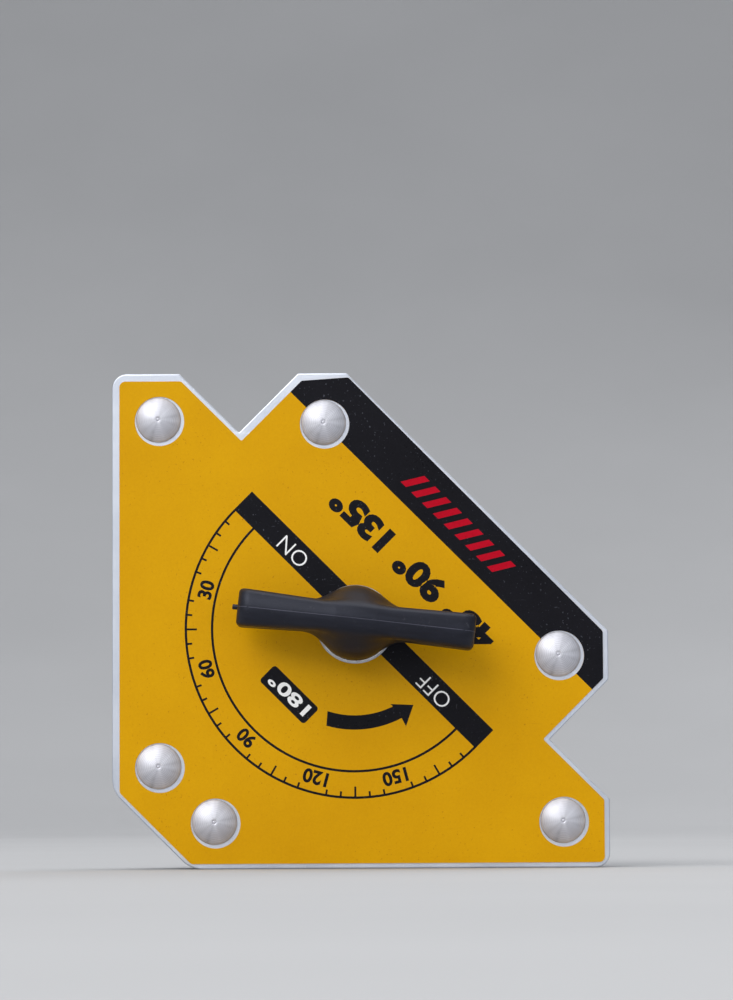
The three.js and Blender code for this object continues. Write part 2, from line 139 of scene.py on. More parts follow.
def mesh_from(name, vertices, faces):
    mesh = bpy.data.meshes.new(name)
    mesh.from_pydata(vertices, [], faces)
    bm = bmesh.new()
    bm.from_mesh(mesh)
    bmesh.ops.remove_doubles(bm, verts=bm.verts, dist=1e-7)
    bmesh.ops.recalc_face_normals(bm, faces=bm.faces)
    bm.to_mesh(mesh)
    bm.free()
    return mesh


def finish_piece(obj, body, materials, replaced=()):
    """Gives a piece its materials and its body, and hides the CAD nodes that it stands for."""
    for material in materials:
        obj.data.materials.append(material)
    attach(obj, body)
    if replaced:
        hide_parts(*replaced)
    return obj


def apply_modifiers(obj):
    bpy.context.view_layer.update()
    evaluated = obj.evaluated_get(bpy.context.evaluated_depsgraph_get())
    mesh = bpy.data.meshes.new_from_object(evaluated)
    obj.modifiers.clear()
    obj.data = mesh
    return obj


def even_normals(obj):
    """Keeps broad faces flat to the eye where they meet a narrow bevel."""
    modifier = obj.modifiers.new("normals", "WEIGHTED_NORMAL")
    modifier.keep_sharp = True
    modifier.weight = 100
    return apply_modifiers(obj)


def cut_with(obj, cutter):
    """Cuts one object out of another for good, and removes the cutter."""
    modifier = obj.modifiers.new("cut", "BOOLEAN")
    modifier.operation = "DIFFERENCE"
    modifier.solver = "EXACT"
    modifier.object = cutter
    apply_modifiers(obj)
    bpy.data.objects.remove(cutter)
    return obj


# -------------------- outlines in X and Z


def plate_corners():
    """Corners as (x, z, corner radius), anticlockwise, symmetric about the diagonal."""
    notch_depth = NOTCH_WIDTH / 2
    notch_end = END_LAND + NOTCH_WIDTH
    lower = [
        (CORNER_CUT, 0, 5),
        (PLATE_SIZE, 0, 2.5),
        (PLATE_SIZE, END_LAND, 0.5),
        (PLATE_SIZE - notch_depth, END_LAND + notch_depth, 0.3),
        (PLATE_SIZE, notch_end, 0.5),
        (PLATE_SIZE, notch_end + INNER_LAND, 0.8),
    ]
    return lower + [(z, x, r) for x, z, r in reversed(lower)]


def inset_corners(corners, distance_of):
    """Moves each edge inwards by distance_of(its inward normal) and finds the corners again."""
    edges = []
    for i, (x, z, _) in enumerate(corners):
        following = corners[(i + 1) % len(corners)]
        along = Vector((following[0] - x, following[1] - z)).normalized()
        normal = Vector((-along.y, along.x))
        edges.append((normal, normal.dot(Vector((x, z))) + distance_of(normal)))
    moved = []
    for i, (_, _, radius) in enumerate(corners):
        (na, da), (nb, db) = edges[i - 1], edges[i]
        det = na.x * nb.y - na.y * nb.x
        moved.append(((da * nb.y - db * na.y) / det, (na.x * db - nb.x * da) / det, radius))
    return moved


def rounded(corners, steps=10):
    """The outline as points, with each corner an arc of its own radius."""
    points = []
    for i, (x, z, radius) in enumerate(corners):
        corner = Vector((x, z))
        back = (Vector(corners[i - 1][:2]) - corner).normalized()
        ahead = (Vector(corners[(i + 1) % len(corners)][:2]) - corner).normalized()
        half = back.angle(ahead) / 2
        centre = corner + (back + ahead).normalized() * radius / math.sin(half)
        start = corner + back * radius / math.tan(half) - centre
        end = corner + ahead * radius / math.tan(half) - centre
        turn = math.atan2(start.x * end.y - start.y * end.x, start.dot(end))
        for step in range(steps + 1):
            angle = turn * step / steps
            points.append(centre + Matrix.Rotation(angle, 2) @ start)
    return points


def circle(x, z, radius, count=72):
    turns = [2 * math.pi * i / count for i in range(count)]
    return [Vector((x + radius * math.cos(t), z + radius * math.sin(t))) for t in turns]


def offset_loop(points, distance):
    """Moves a loop to its left by a distance, with mitred corners."""
    moved = []
    for i, point in enumerate(points):
        before = (point - points[i - 1]).normalized()
        after = (points[(i + 1) % len(points)] - point).normalized()
        normal = Vector((-before.y - after.y, before.x + after.x)) / (1 + before.dot(after))
        moved.append(point + normal * distance)
    return moved


def without_repeats(points):
    return [p for i, p in enumerate(points) if (p - points[i - 1]).length > 1e-4]


def prism(name, outline, holes, depths, bevel, bevel_steps=3):
    """A plate of any outline, with its holes, whose long edges are rounded by bevel."""
    loops = [without_repeats(outline)] + [list(reversed(without_repeats(hole))) for hole in holes]
    near, far = depths
    turns = [math.pi / 2 * step / bevel_steps for step in range(bevel_steps + 1)]
    levels = [(bevel * (1 - math.sin(t)), near + bevel * (1 - math.cos(t))) for t in turns]
    levels += [(inset, near + far - depth) for inset, depth in reversed(levels)]
    vertices, faces, rings = [], [], []
    for inset, depth in levels:
        ring = []
        for loop in loops:
            start = len(vertices)
            vertices += [place(p.x, depth, p.y) for p in offset_loop(loop, inset)]
            ring.append(range(start, len(vertices)))
        rings.append(ring)
    for lower, upper in zip(rings, rings[1:]):
        for a, b in zip(lower, upper):
            count = len(a)
            faces += [(a[i], a[(i + 1) % count], b[(i + 1) % count], b[i]) for i in range(count)]
    for ring in (rings[0], rings[-1]):
        flat = [i for loop in ring for i in loop]
        polygons = [[Vector((vertices[i].x, vertices[i].z, 0)) for i in loop] for loop in ring]
        faces += [tuple(flat[i] for i in triangle) for triangle in tessellate_polygon(polygons)]
    return mesh_from(name, vertices, faces)


def lathe(name, profile, count=96):
    """A closed profile of (radius, depth) turned about the Y axis through the object's origin."""
    vertices, rings = [], []
    for radius, depth in profile:
        start = len(vertices)
        turns = 1 if radius == 0 else count
        for i in range(turns):
            angle = 2 * math.pi * i / count
            vertices.append(Vector((radius * math.cos(angle), depth, radius * math.sin(angle))) * MM)
        rings.append([start + (i if turns > 1 else 0) for i in range(count)])
    faces = []
    closed = profile[0][0] > 0
    pairs = list(zip(rings, rings[1:])) + ([(rings[-1], rings[0])] if closed else [])
    for a, b in pairs:
        for i in range(count):
            j = (i + 1) % count
            corners = []
            for vertex in (a[i], a[j], b[j], b[i]):
                if vertex not in corners:
                    corners.append(vertex)
            faces.append(tuple(corners))
    return mesh_from(name, vertices, faces)


def arc(centre_r, centre_d, radius, start, end, steps=5):
    """Points of a profile's rounded corner, between two angles in degrees."""
    turns = [math.radians(start + (end - start) * i / steps) for i in range(steps + 1)]
    return [(centre_r + radius * math.cos(t), centre_d + radius * math.sin(t)) for t in turns]


# -------------------- material helpers


class Look:
    """One procedural material, with its patterns measured in millimetres on the object."""

    def __init__(self, name, **values):
        self.material = bpy.data.materials.new(name)
        self.material.use_nodes = True
        self.tree = self.material.node_tree
        self.shader = self.tree.nodes["Principled BSDF"]
        for socket, value in values.items():
            self.shader.inputs[socket.replace("_", " ")].default_value = value
        coordinates = self.tree.nodes.new("ShaderNodeTexCoord")
        self.position = coordinates.outputs["Object"]
        self.last_bump = None

    def node(self, kind, inputs=(), **settings):
        made = self.tree.nodes.new(kind)
        for key, value in settings.items():
            setattr(made, key, value)
        for socket, value in dict(inputs).items():
            if isinstance(value, bpy.types.NodeSocket):
                self.tree.links.new(value, made.inputs[socket])
            else:
                made.inputs[socket].default_value = value
        return made

    def scaled(self, scale):
        """The position, in units of 1 mm stretched by scale."""
        factors = [s / MM for s in (scale if isinstance(scale, tuple) else (scale,) * 3)]
        return self.node("ShaderNodeMapping", {"Vector": self.position, "Scale": factors}).outputs[0]

    def noise(self, scale, detail=3.0, roughness=0.55, distortion=0.0):
        """Noise whose cells are about 1/scale mm across."""
        inputs = {"Vector": self.scaled(scale), "Scale": 1.0, "Detail": detail, "Roughness": roughness}
        return self.node("ShaderNodeTexNoise", {**inputs, "Distortion": distortion}).outputs["Fac"]

    def ramp(self, value, low, high, to_low=0.0, to_high=1.0):
        inputs = {"Value": value, "From Min": low, "From Max": high, "To Min": to_low, "To Max": to_high}
        return self.node("ShaderNodeMapRange", inputs, clamp=True).outputs[0]

    def math(self, operation, a, b=0.0):
        return self.node("ShaderNodeMath", {0: a, 1: b}, operation=operation).outputs[0]

    def mix(self, factor, a, b):
        inputs = {"Factor": factor, "A": a, "B": b}
        mixer = self.node("ShaderNodeMix", data_type="RGBA")
        for socket, value in inputs.items():
            found = [s for s in mixer.inputs if s.name == socket and s.enabled][0]
            if isinstance(value, bpy.types.NodeSocket):
                self.tree.links.new(value, found)
            else:
                found.default_value = value
        return [s for s in mixer.outputs if s.enabled][0]

    def colour(self, socket):
        self.tree.links.new(socket, self.shader.inputs["Base Color"])
        return self

    def roughness(self, socket):
        self.tree.links.new(socket, self.shader.inputs["Roughness"])
        return self

    def bump(self, height, depth, strength=1.0):
        """Adds relief as deep as depth millimetres, on top of any that is there."""
        inputs = {"Height": height, "Distance": depth * MM, "Strength": strength}
        if self.last_bump:
            inputs["Normal"] = self.last_bump
        self.last_bump = self.node("ShaderNodeBump", inputs).outputs[0]
        self.tree.links.new(self.last_bump, self.shader.inputs["Normal"])
        return self


def rgb(red, green, blue):
    """A screen colour, 0 to 255, as the linear colour that shaders take."""

    def linear(value):
        value /= 255
        return value / 12.92 if value <= 0.04045 else ((value + 0.055) / 1.055) ** 2.4

    return (linear(red), linear(green), linear(blue), 1.0)


# -------------------- materials


def zinc_face():
    """Bright zinc plate on rolled steel: a soft grain, fine rub marks and a few deeper scratches."""
    look = Look("zinc_face", Metallic=0.92, Specular_IOR_Level=0.6)
    patches = look.noise(0.09, 4.0)
    grain = look.noise((1.6, 1.6, 9.0), 4.0)
    rubbed = look.noise((0.35, 0.35, 6.5), 5.0, 0.7, 0.3)
    scratch = look.ramp(look.noise((7.0, 7.0, 0.22), 2.0, 0.5, 1.2), 0.66, 0.7)
    base = look.mix(look.ramp(patches, 0.3, 0.7), rgb(194, 200, 212), rgb(212, 217, 227))
    look.colour(look.mix(look.math("MULTIPLY", scratch, 0.35), base, rgb(232, 235, 241)))
    dulled = look.math("ADD", rubbed, look.math("MULTIPLY", patches, 0.5))
    look.roughness(look.ramp(dulled, 0.5, 1.1, 0.3, 0.46))
    look.bump(grain, 0.006).bump(rubbed, 0.008).bump(scratch, -0.006)
    return look.material


def zinc_edge():
    """The plate's cut edge: streaks across its thickness, a burnished band and a rougher one."""
    look = Look("zinc_edge", Metallic=0.95)
    streaks = look.noise((3.2, 0.12, 3.2), 4.0, 0.65)
    pits = look.noise(5.0, 3.0)
    look.colour(look.mix(look.ramp(streaks, 0.35, 0.7), rgb(166, 170, 178), rgb(209, 212, 218)))
    look.roughness(look.ramp(streaks, 0.3, 0.7, 0.34, 0.56))
    look.bump(streaks, 0.03).bump(pits, 0.008)
    return look.material


def extruded_aluminium():
    """The core's outside: die lines along Y with a faint blasted grain."""
    look = Look("extruded_aluminium", Metallic=0.9)
    lines = look.noise((2.2, 0.03, 2.2), 5.0, 0.7)
    grain = look.noise(6.0, 2.0)
    clouds = look.noise(0.12, 3.0)
    base = look.mix(look.ramp(clouds, 0.3, 0.7), rgb(150, 152, 156), rgb(172, 174, 178))
    look.colour(look.mix(look.ramp(lines, 0.55, 0.75, 0.0, 0.5), base, rgb(200, 202, 205)))
    look.roughness(look.ramp(grain, 0.3, 0.7, 0.42, 0.58))
    look.bump(lines, 0.02).bump(grain, 0.012)
    return look.material


def turned_metal(name, dark, light, roughness=(0.25, 0.4), pitch=0.16, depth=0.006, painted_shade_streaks=0.0):
    """Metal with rings about its own Y axis, as left by a lathe, with, when asked, darker radial streaks of
    painted shade.
    """
    look = Look(name, Metallic=0.95)
    flat = look.node("ShaderNodeVectorMath", {0: look.position, 1: (1, 0, 1)}, operation="MULTIPLY")
    radius = look.node("ShaderNodeVectorMath", {0: flat.outputs[0]}, operation="LENGTH").outputs["Value"]
    wobble = look.math("MULTIPLY", look.noise(0.6, 2.0), 0.6 * MM)
    phase = look.math("MULTIPLY", look.math("ADD", radius, wobble), 2 * math.pi / (pitch * MM))
    rings = look.ramp(look.math("SINE", phase), -1.0, 1.0)
    clouds = look.noise(0.5, 3.0)
    blend = look.math("ADD", look.math("MULTIPLY", rings, 0.3), look.math("MULTIPLY", clouds, 0.7))
    colour = look.mix(look.ramp(blend, 0.25, 0.7), dark, light)
    if painted_shade_streaks:
        outwards = look.node("ShaderNodeVectorMath", {0: flat.outputs[0]}, operation="NORMALIZE").outputs[0]
        settings = {"Vector": outwards, "Scale": 1.1, "Detail": 3.0}
        ray = look.node("ShaderNodeTexNoise", settings).outputs["Fac"]
        # Painted shade: where the radial noise is high, the colour darkens towards grey, as shade streaks
        # across a domed head
        shade_streak_mask = look.math("MULTIPLY", look.ramp(ray, 0.4, 0.72), look.ramp(clouds, 0.3, 0.7, 0.3, 1.0))
        colour = look.mix(look.math("MULTIPLY", shade_streak_mask, painted_shade_streaks), colour, rgb(128, 128, 136))
    look.colour(colour)
    look.roughness(look.ramp(clouds, 0.3, 0.7, *roughness))
    look.bump(rings, depth).bump(look.noise(4.0, 3.0), 0.006)
    return look.material


def plain_metal(name, dark, light, roughness, grain=3.0, depth=0.008):
    look = Look(name, Metallic=0.95)
    clouds = look.noise(grain / 6, 3.0)
    fine = look.noise(grain, 3.0)
    look.colour(look.mix(look.ramp(clouds, 0.3, 0.7), dark, light))
    look.roughness(look.ramp(fine, 0.3, 0.7, roughness - 0.06, roughness + 0.08))
    look.bump(fine, depth)
    return look.material


def printed_film(name, dark, light, worn, gloss=0.34):
    """Ink on a smooth film: a soft halftone mottle, slight orange peel, rubbed specks and hair scratches."""
    look = Look(name, Coat_Weight=0.02, Coat_Roughness=0.2, Specular_IOR_Level=0.08)
    clouds = look.noise(0.06, 3.0)
    mottle = look.noise(2.6, 3.0, 0.6)
    dots = look.noise(9.0, 1.0)
    blend = look.math("ADD", look.math("MULTIPLY", clouds, 0.6), look.math("MULTIPLY", mottle, 0.4))
    printed = look.mix(look.ramp(blend, 0.35, 0.65), dark, light)
    printed = look.mix(look.ramp(dots, 0.6, 0.75, 0.0, 0.5), printed, light)
    specks = look.ramp(look.noise(2.4, 2.0, 0.5), 0.665, 0.74, 0.0, 0.75)
    hairs = look.ramp(look.noise((0.16, 1.0, 3.4), 3.0, 0.6, 0.8), 0.7, 0.74, 0.0, 0.35)
    gathered = look.ramp(look.noise(0.07, 2.0), 0.4, 0.62, 0.25, 1.0)
    wear = look.math("MULTIPLY", look.math("MAXIMUM", specks, hairs), gathered)
    look.colour(look.mix(wear, printed, worn))
    look.roughness(look.ramp(look.math("ADD", clouds, mottle), 0.7, 1.3, gloss - 0.05, gloss + 0.1))
    look.bump(mottle, 0.003).bump(look.noise(0.5, 2.0), 0.01)
    return look.material


def moulded_plastic(name, dark, light):
    """Black moulding: spark-eroded grain, faint flow marks and a dusting of grey."""
    # Painted reflection: the bluish specular tint gives the reflections the colour of bluish surroundings
    look = Look(name, Specular_IOR_Level=0.36, Specular_Tint=(0.76, 0.81, 1.0, 1.0))
    grain = look.noise(5.5, 4.0, 0.6)
    flow = look.noise((0.15, 1.2, 1.2), 3.0)
    dust = look.ramp(look.noise(1.3, 5.0, 0.75), 0.6, 0.72)
    base = look.mix(look.ramp(flow, 0.3, 0.7), dark, light)
    look.colour(look.mix(look.math("MULTIPLY", dust, 0.12), base, rgb(120, 120, 126)))
    uneven = look.math("ADD", grain, look.math("MULTIPLY", flow, 0.5))
    look.roughness(look.ramp(uneven, 0.5, 1.0, 0.36, 0.5))
    look.bump(grain, 0.012).bump(flow, 0.01)
    return look.material


def dull_plastic():
    look = Look("dull_plastic", Roughness=0.6)
    grain = look.noise(3.0, 3.0)
    look.colour(look.mix(look.ramp(grain, 0.3, 0.7), rgb(222, 219, 208), rgb(238, 236, 228)))
    look.bump(grain, 0.01)
    return look.material


def studio_floor():
    look = Look("studio_floor", Roughness=0.85, Specular_IOR_Level=0.2)
    clouds = look.ramp(look.noise(0.004, 3.0), 0.3, 0.7)
    look.colour(look.mix(clouds, rgb(176, 177, 179), rgb(181, 182, 184)))
    return look.material


ZINC_FACE = zinc_face()
ZINC_EDGE = zinc_edge()
CORE_METAL = extruded_aluminium()
# The rivet heads' darker radial streaks are painted shade
RIVET_METAL = turned_metal(
    "rivet_metal", rgb(202, 202, 211), rgb(226, 227, 233), (0.54, 0.68), pitch=0.3, depth=0.004, painted_shade_streaks=0.6
)
YELLOW_FILM = printed_film("yellow_film", rgb(204, 148, 0), rgb(213, 158, 0), rgb(166, 98, 8))
BLACK_INK = printed_film("black_ink", rgb(14, 14, 19), rgb(21, 21, 27), rgb(96, 98, 108), 0.32)
WHITE_INK = printed_film("white_ink", rgb(232, 232, 232), rgb(244, 244, 244), rgb(190, 190, 190))
RED_INK = printed_film("red_ink", rgb(170, 0, 26), rgb(190, 2, 36), rgb(120, 10, 24))
KNOB_PLASTIC = moulded_plastic("knob_plastic", rgb(14, 14, 21), rgb(25, 26, 34))
# A lighter grey for the parting-line rib: a painted highlight along the thin ridge
RIB_HIGHLIGHT_PLASTIC = moulded_plastic("rib_highlight_plastic", rgb(58, 58, 68), rgb(76, 76, 88))
BRASS = turned_metal("brass", rgb(178, 140, 70), rgb(206, 170, 98))
BRIGHT_STEEL = turned_metal("bright_steel", rgb(196, 199, 204), rgb(222, 224, 228), (0.2, 0.34))
NICKEL = turned_metal("nickel", rgb(186, 188, 194), rgb(206, 208, 212), (0.12, 0.25))
BLACK_STEEL = plain_metal("black_steel", rgb(44, 44, 47), rgb(66, 66, 70), 0.38)
SOFT_IRON = plain_metal("soft_iron", rgb(120, 122, 126), rgb(146, 148, 152), 0.42)
DULL_PLASTIC = dull_plastic()

# -------------------- plates and core


def across(angle, depth):
    """Puts a lathe's axis in the plates' plane, pointing outwards from the knob axis at an angle."""
    turn = Matrix.Rotation(-math.radians(angle), 4, "Y") @ Matrix.Rotation(-math.pi / 2, 4, "Z")
    return Matrix.Translation(Vector((AXIS.x, FRONT + depth * MM, AXIS.z))) @ turn


def on_axis(angle=0.0):
    """The knob axis at the front plate's face, turned anticlockwise seen from the knob side."""
    turn = Matrix.Rotation(-math.radians(angle), 4, "Y")
    return Matrix.Translation(Vector((AXIS.x, FRONT, AXIS.z))) @ turn


def paint_edges(obj, edge_index):
    """Gives the walls of a prism their own material, and leaves its two faces the first one."""
    for polygon in obj.data.polygons:
        if abs(polygon.normal.y) < 0.6:
            polygon.material_index = edge_index


def plate(name, low, high):
    holes = [circle(x, z, RIVET_HOLE_R) for x, z in RIVETS.values()]
    holes.append(circle(AXIS_X, AXIS_Z, BUSH_HOLE_R))
    depths = (depth_of(low.y), depth_of(high.y))
    mesh = prism(name, rounded(plate_corners()), holes, depths, PLATE_BEVEL)
    obj = even_normals(new_object(name + "_steel", mesh))
    finish_piece(obj, BLOCK, [ZINC_FACE, ZINC_EDGE], [name])
    paint_edges(obj, 1)


def bore_outline():
    """The magnet bore with its two shoe pockets, which two ribs keep apart."""
    points = []
    for middle in (ON_ANGLE, ON_ANGLE + 180):
        for step in range(37):
            angle = math.radians(middle - SHOE_POCKET_HALF + 2 * SHOE_POCKET_HALF * step / 36)
            points.append(Vector((math.cos(angle), math.sin(angle))) * SHOE_POCKET_R)
        rib = 180 - 2 * SHOE_POCKET_HALF
        for step in range(7):
            angle = math.radians(middle + SHOE_POCKET_HALF + rib * step / 6)
            points.append(Vector((math.cos(angle), math.sin(angle))) * BORE_R)
    return [point + Vector((AXIS_X, AXIS_Z)) for point in points]


def core():
    corners = inset_corners(plate_corners(), lambda normal: CORE_INSET)
    holes = [circle(x, z, RIVET_HOLE_R + 0.1) for x, z in RIVETS.values()]
    depths = (depth_of(core_low.y), depth_of(core_high.y))
    mesh = prism("core", rounded(corners), [*holes, bore_outline()], depths, CORE_BEVEL)
    obj = new_object("core_extrusion", mesh)
    profile = [(0, DETENT_TAP_FROM), (DETENT_TAP_R, DETENT_TAP_FROM), (DETENT_TAP_R, 40), (0, 40)]
    tap = new_object("tap", lathe("tap", profile, 48))
    tap.matrix_world = across(DETENT_ANGLE, DETENT_DEPTH)
    cut_with(obj, tap)
    obj.data.set_sharp_from_angle(angle=math.radians(32))
    even_normals(obj)
    finish_piece(obj, BLOCK, [CORE_METAL], ["core_housing"])


plate("front_plate", front_low, front_high)
plate("rear_plate", rear_low, rear_high)
core()

# -------------------- the printed label

YELLOW, BLACK, WHITE, RED = range(4)
DIAL_OUTER_R, DIAL_INNER_R, DIAL_LINE = 28.9, 24.4, 0.42
BAND_HALF, BAND_WIDTH = 29.1, 4.36
WORD_AT = -1.94  # ON and OFF, a little nearer to the dial than the band's middle
SLANT_BAND_AT = 21.2  # from the dial's centre to the black corner band
PAST_LABEL = 70  # far enough for a patch to run off the label
NUMBER_R = 26.3
TICK_R, MID_TICK_R, TICK_HALF = 27.9, 27.0, 0.35  # where ticks start, and half their width in degrees
BOX_AT, BOX_SIZE, BOX_CORNER_R = 15.9, (10.7, 3.8), 0.6
ANGLES_AT = -14.2
ARROW_OUTER_R, ARROW_INNER_R = 17.3, 14.85
ARROW_BARB = ((18.9, 162.5), (16.5, 172.4), (14.3, 160.1))  # radius and angle of each point of its head
RED_BAR_PITCH, RED_BAR_HALF, RED_BAR_SLANT = 2.6, 0.65, 1.1
RED_BAR_NEAR, RED_BAR_FAR = -23.5, -27.1


def dial(a, b):
    """Dial coordinates to plate ones. The dial reads with its top towards the cut corner: a runs up
    and left along the black bar, from OFF to ON, and b towards the cut corner."""
    diagonal = math.sqrt(0.5)
    return Vector((DIAL_CENTRE[0] - (a + b) * diagonal, DIAL_CENTRE[1] + (a - b) * diagonal))


def around(radius, angle):
    """A dial point at an angle in degrees from the ON end of the bar."""
    return dial(radius * math.cos(math.radians(angle)), radius * math.sin(math.radians(angle)))


def closed(points):
    return [(p, points[(i + 1) % len(points)]) for i, p in enumerate(points)]


def dial_sector(inner, outer, start, end, steps=64):
    turns = [start + (end - start) * i / steps for i in range(steps + 1)]
    return [around(outer, t) for t in turns] + [around(inner, t) for t in reversed(turns)]


def dial_rectangle(a, b, width, height, radius=0.0):
    if not radius:
        return [dial(a + i * width / 2, b + j * height / 2) for i, j in ((-1, -1), (1, -1), (1, 1), (-1, 1))]
    points = []
    for i, j, first in ((1, 1, 0), (-1, 1, 90), (-1, -1, 180), (1, -1, 270)):
        for step in range(7):
            angle = math.radians(first + 15 * step)
            points.append(dial(a + i * (width / 2 - radius) + radius * math.cos(angle),
                               b + j * (height / 2 - radius) + radius * math.sin(angle)))
    return points


def lettering(body, height, weight=0.0, length=None):
    """Edges of a piece of lettering that is centred on zero, in the built-in plain typeface."""
    curve = bpy.data.curves.new("lettering", "FONT")
    curve.body = body
    curve.offset = weight
    curve.resolution_u = 4
    text = bpy.data.objects.new("lettering", curve)
    bpy.context.scene.collection.objects.link(text)
    bpy.context.view_layer.update()
    mesh = bpy.data.meshes.new_from_object(text.evaluated_get(bpy.context.evaluated_depsgraph_get()))
    bpy.data.objects.remove(text)
    bm = bmesh.new()
    bm.from_mesh(mesh)
    bmesh.ops.remove_doubles(bm, verts=bm.verts, dist=1e-6)
    edges = [tuple(v.co.xy for v in e.verts) for e in bm.edges if len(e.link_faces) == 1]
    edges = [(a.copy(), b.copy()) for a, b in edges]
    bm.free()
    xs = [p.x for edge in edges for p in edge]
    ys = [p.y for edge in edges for p in edge]
    tall = height / (max(ys) - min(ys))
    wide = length / (max(xs) - min(xs)) if length else tall
    middle = Vector((min(xs) + max(xs), min(ys) + max(ys))) / 2
    return [tuple(Vector(((p.x - middle.x) * wide, (p.y - middle.y) * tall)) for p in edge) for edge in edges]


def lettering_at(edges, a, b):
    return [tuple(dial(a + p.x, b + p.y) for p in edge) for edge in edges]


def lettering_around(edges, radius, angle):
    """Lettering with its top outwards, centred at a radius and an angle of the dial."""
    turn = Matrix.Rotation(math.radians(angle - 90), 2)
    middle = Vector((radius * math.cos(math.radians(angle)), radius * math.sin(math.radians(angle))))
    return [tuple(dial(*(middle + turn @ p)) for p in edge) for edge in edges]


def arrow():
    """The curved arrow from ON to OFF, with its tail cut square to the label."""
    outer = [around(ARROW_OUTER_R, 118.6 + 43.9 * i / 24) for i in range(25)]
    inner = [around(ARROW_INNER_R, 116.6 + 44.4 * i / 24) for i in range(25)]
    return [*outer, *(around(*point) for point in ARROW_BARB), *reversed(inner)]


def printed_regions():
    """Every printed patch as (ink, edges). A later patch covers an earlier one."""
    corners = ((-1, SLANT_BAND_AT), (1, SLANT_BAND_AT), (1, PAST_LABEL), (-1, PAST_LABEL))
    regions = [(BLACK, closed([dial(side * PAST_LABEL, -away) for side, away in corners]))]
    for radius in (DIAL_OUTER_R, DIAL_INNER_R):
        line = dial_sector(radius - DIAL_LINE / 2, radius + DIAL_LINE / 2, 0, 180)
        regions.append((BLACK, closed(line)))
    regions.append((BLACK, closed(dial_rectangle(0, -BAND_WIDTH / 2, 2 * BAND_HALF, BAND_WIDTH))))
    for word, along in (("ON", 16.75), ("OFF", -17.2)):
        regions.append((WHITE, lettering_at(lettering(word, 2.65, -0.01), along, WORD_AT)))
    regions.append((BLACK, closed(arrow())))
    regions.append((BLACK, closed(dial_rectangle(0, BOX_AT, *BOX_SIZE, BOX_CORNER_R))))
    regions.append((WHITE, lettering_at(lettering("180\u00b0", 2.4, 0.025, 8.6), 0, BOX_AT)))
    for degrees in range(30, 151, 30):
        number = lettering(str(degrees), 2.5, 0.035)
        regions.append((BLACK, lettering_around(number, NUMBER_R, degrees)))
    for degrees in range(5, 180, 5):
        inner = MID_TICK_R if degrees % 30 == 15 else TICK_R
        if degrees % 30:
            tick = dial_sector(inner, DIAL_OUTER_R, degrees - TICK_HALF, degrees + TICK_HALF, 1)
            regions.append((BLACK, closed(tick)))
    angles = lettering("45\u00b0 90\u00b0 135\u00b0", 5.0, 0.055, 37)
    regions.append((BLACK, lettering_at(angles, 0, ANGLES_AT)))
    for bar in range(-4, 5):
        middle = bar * RED_BAR_PITCH
        far, near = middle - RED_BAR_SLANT, middle + RED_BAR_SLANT
        corners = (
            (far - RED_BAR_HALF, RED_BAR_FAR), (far + RED_BAR_HALF, RED_BAR_FAR),
            (near + RED_BAR_HALF, RED_BAR_NEAR), (near - RED_BAR_HALF, RED_BAR_NEAR),
        )
        regions.append((RED, closed([dial(*corner) for corner in corners])))
    return regions


class Patch:
    """A printed patch that can say whether a point is in it, by counting the edges to its right."""

    def __init__(self, ink, edges):
        self.ink = ink
        self.edges = [(a.x, a.y, b.x, b.y) for a, b in edges]
        xs = [v for e in self.edges for v in (e[0], e[2])]
        ys = [v for e in self.edges for v in (e[1], e[3])]
        self.box = (min(xs), min(ys), max(xs), max(ys))

    def holds(self, x, y):
        low_x, low_y, high_x, high_y = self.box
        if not (low_x < x < high_x and low_y < y < high_y):
            return False
        inside = False
        for ax, ay, bx, by in self.edges:
            if (ay > y) != (by > y) and x < ax + (y - ay) * (bx - ax) / (by - ay):
                inside = not inside
        return inside


def film_edges():
    def inset(normal):
        faces_slant = abs(abs(normal.x) - abs(normal.y)) < 0.1 and normal.x * normal.y > 0
        return LABEL_SLANT_INSET if faces_slant else LABEL_INSET

    corners = inset_corners(plate_corners(), inset)
    x, z, radius = corners[TOP_LAND_END]
    corners[TOP_LAND_END] = (x, z + LABEL_TOP_RISE, radius)
    loops = [rounded([(x, z, min(radius, LABEL_CORNER_R)) for x, z, radius in corners])]
    loops += [circle(x, z, LABEL_RIVET_HOLE_R) for x, z in RIVETS.values()]
    loops = [[p + LABEL_SHIFT for p in without_repeats(loop)] for loop in loops]
    loops.append(circle(AXIS_X, AXIS_Z, LABEL_HUB_HOLE_R, 96))
    return [edge for loop in loops for edge in closed(loop)]


